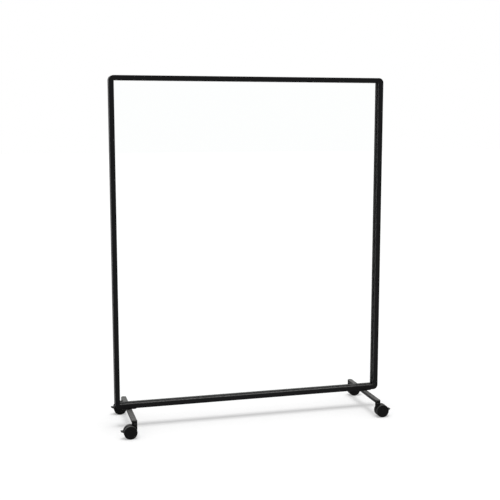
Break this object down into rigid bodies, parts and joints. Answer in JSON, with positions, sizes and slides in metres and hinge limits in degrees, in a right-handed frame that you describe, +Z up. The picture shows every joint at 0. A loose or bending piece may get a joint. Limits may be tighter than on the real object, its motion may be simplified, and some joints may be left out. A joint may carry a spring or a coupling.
{
  "type": "rolling partition",
  "caption": "Free-standing room partition with a clear panel in a slim rounded black frame, on cross feet with braked twin-wheel swivel casters.",
  "frame": {"origin": "on the floor, under the middle of the frame", "axes": "+X along the width, +Y towards the back, +Z up; the pictured front faces -Y"},
  "size_m": [1.5, 0.4712, 1.856],
  "materials": {
    "frame_profile": "satin",
    "corner_plastic": "satin",
    "panel_acrylic": "polished",
    "gasket_rubber": "matte",
    "foot_paint": "satin",
    "caster_plastic": "satin",
    "tread_rubber": "matte",
    "fastener_steel": "satin",
    "bearing_steel": "satin"
  },
  "bodies": {
    "frame": {"top_rail": "frame_profile", "bottom_rail": "frame_profile", "left_stile": "frame_profile", "right_stile": "frame_profile", "corner_top_left": "corner_plastic", "corner_top_right": "corner_plastic", "corner_bottom_left": "corner_plastic", "corner_bottom_right": "corner_plastic", "corner_screws": "fastener_steel", "clear_panel": "panel_acrylic", "top_gasket": "gasket_rubber", "bottom_gasket": "gasket_rubber", "left_gasket": "gasket_rubber", "right_gasket": "gasket_rubber", "left_mounting_plate": "foot_paint", "right_mounting_plate": "foot_paint", "plate_screws": "fastener_steel", "foot_bolts": "fastener_steel", "left_foot": "foot_paint", "right_foot": "foot_paint", "caster_socket_front_left": "caster_plastic", "caster_socket_front_right": "caster_plastic", "caster_socket_rear_left": "caster_plastic", "caster_socket_rear_right": "caster_plastic", "socket_screws": "fastener_steel", "caster_stems": "bearing_steel", "stem_washers": "bearing_steel"},
    "swivel_front_left": {"caster_housing_front_left": "caster_plastic", "swivel_cap_front_left": "bearing_steel", "caster_axle_front_left": "bearing_steel"},
    "wheels_front_left_outer": {"wheel_front_left_outer": "caster_plastic", "tread_front_left_outer": "tread_rubber"},
    "wheels_front_left_inner": {"wheel_front_left_inner": "caster_plastic", "tread_front_left_inner": "tread_rubber"},
    "pedal_front_left": {"brake_pedal_front_left": "caster_plastic"},
    "swivel_front_right": {"caster_housing_front_right": "caster_plastic", "swivel_cap_front_right": "bearing_steel", "caster_axle_front_right": "bearing_steel"},
    "wheels_front_right_outer": {"wheel_front_right_outer": "caster_plastic", "tread_front_right_outer": "tread_rubber"},
    "wheels_front_right_inner": {"wheel_front_right_inner": "caster_plastic", "tread_front_right_inner": "tread_rubber"},
    "pedal_front_right": {"brake_pedal_front_right": "caster_plastic"},
    "swivel_rear_left": {"caster_housing_rear_left": "caster_plastic", "swivel_cap_rear_left": "bearing_steel", "caster_axle_rear_left": "bearing_steel"},
    "wheels_rear_left_outer": {"wheel_rear_left_outer": "caster_plastic", "tread_rear_left_outer": "tread_rubber"},
    "wheels_rear_left_inner": {"wheel_rear_left_inner": "caster_plastic", "tread_rear_left_inner": "tread_rubber"},
    "pedal_rear_left": {"brake_pedal_rear_left": "caster_plastic"},
    "swivel_rear_right": {"caster_housing_rear_right": "caster_plastic", "swivel_cap_rear_right": "bearing_steel", "caster_axle_rear_right": "bearing_steel"},
    "wheels_rear_right_outer": {"wheel_rear_right_outer": "caster_plastic", "tread_rear_right_outer": "tread_rubber"},
    "wheels_rear_right_inner": {"wheel_rear_right_inner": "caster_plastic", "tread_rear_right_inner": "tread_rubber"},
    "pedal_rear_right": {"brake_pedal_rear_right": "caster_plastic"}
  },
  "joints": [
    {"name": "front_left_swivel", "type": "hinge", "parent": "frame", "child": "swivel_front_left", "pos_m": [-0.675, -0.212, 0.069], "axis": [0, 0, 1], "continuous": true},
    {"name": "front_left_outer_wheel_spin", "type": "hinge", "parent": "swivel_front_left", "child": "wheels_front_left_outer", "pos_m": [-0.6975, -0.212, 0.035], "axis": [0, 1, 0], "continuous": true},
    {"name": "front_left_inner_wheel_spin", "type": "hinge", "parent": "swivel_front_left", "child": "wheels_front_left_inner", "pos_m": [-0.6975, -0.212, 0.035], "axis": [0, 1, 0], "continuous": true},
    {"name": "front_left_pedal_press", "type": "hinge", "parent": "swivel_front_left", "child": "pedal_front_left", "pos_m": [-0.72128, -0.212, 0.04272], "axis": [0, -1, 0], "range_deg": [0, 20]},
    {"name": "front_right_swivel", "type": "hinge", "parent": "frame", "child": "swivel_front_right", "pos_m": [0.675, -0.212, 0.069], "axis": [0, 0, 1], "continuous": true},
    {"name": "front_right_outer_wheel_spin", "type": "hinge", "parent": "swivel_front_right", "child": "wheels_front_right_outer", "pos_m": [0.6975, -0.212, 0.035], "axis": [0, 1, 0], "continuous": true},
    {"name": "front_right_inner_wheel_spin", "type": "hinge", "parent": "swivel_front_right", "child": "wheels_front_right_inner", "pos_m": [0.6975, -0.212, 0.035], "axis": [0, 1, 0], "continuous": true},
    {"name": "front_right_pedal_press", "type": "hinge", "parent": "swivel_front_right", "child": "pedal_front_right", "pos_m": [0.72128, -0.212, 0.04272], "axis": [0, 1, 0], "range_deg": [0, 20]},
    {"name": "rear_left_swivel", "type": "hinge", "parent": "frame", "child": "swivel_rear_left", "pos_m": [-0.675, 0.212, 0.069], "axis": [0, 0, 1], "continuous": true},
    {"name": "rear_left_outer_wheel_spin", "type": "hinge", "parent": "swivel_rear_left", "child": "wheels_rear_left_outer", "pos_m": [-0.6975, 0.212, 0.035], "axis": [0, 1, 0], "continuous": true},
    {"name": "rear_left_inner_wheel_spin", "type": "hinge", "parent": "swivel_rear_left", "child": "wheels_rear_left_inner", "pos_m": [-0.6975, 0.212, 0.035], "axis": [0, 1, 0], "continuous": true},
    {"name": "rear_left_pedal_press", "type": "hinge", "parent": "swivel_rear_left", "child": "pedal_rear_left", "pos_m": [-0.72128, 0.212, 0.04272], "axis": [0, -1, 0], "range_deg": [0, 20]},
    {"name": "rear_right_swivel", "type": "hinge", "parent": "frame", "child": "swivel_rear_right", "pos_m": [0.675, 0.212, 0.069], "axis": [0, 0, 1], "continuous": true},
    {"name": "rear_right_outer_wheel_spin", "type": "hinge", "parent": "swivel_rear_right", "child": "wheels_rear_right_outer", "pos_m": [0.6975, 0.212, 0.035], "axis": [0, 1, 0], "continuous": true},
    {"name": "rear_right_inner_wheel_spin", "type": "hinge", "parent": "swivel_rear_right", "child": "wheels_rear_right_inner", "pos_m": [0.6975, 0.212, 0.035], "axis": [0, 1, 0], "continuous": true},
    {"name": "rear_right_pedal_press", "type": "hinge", "parent": "swivel_rear_right", "child": "pedal_rear_right", "pos_m": [0.72128, 0.212, 0.04272], "axis": [0, 1, 0], "range_deg": [0, 20]}
  ]
}
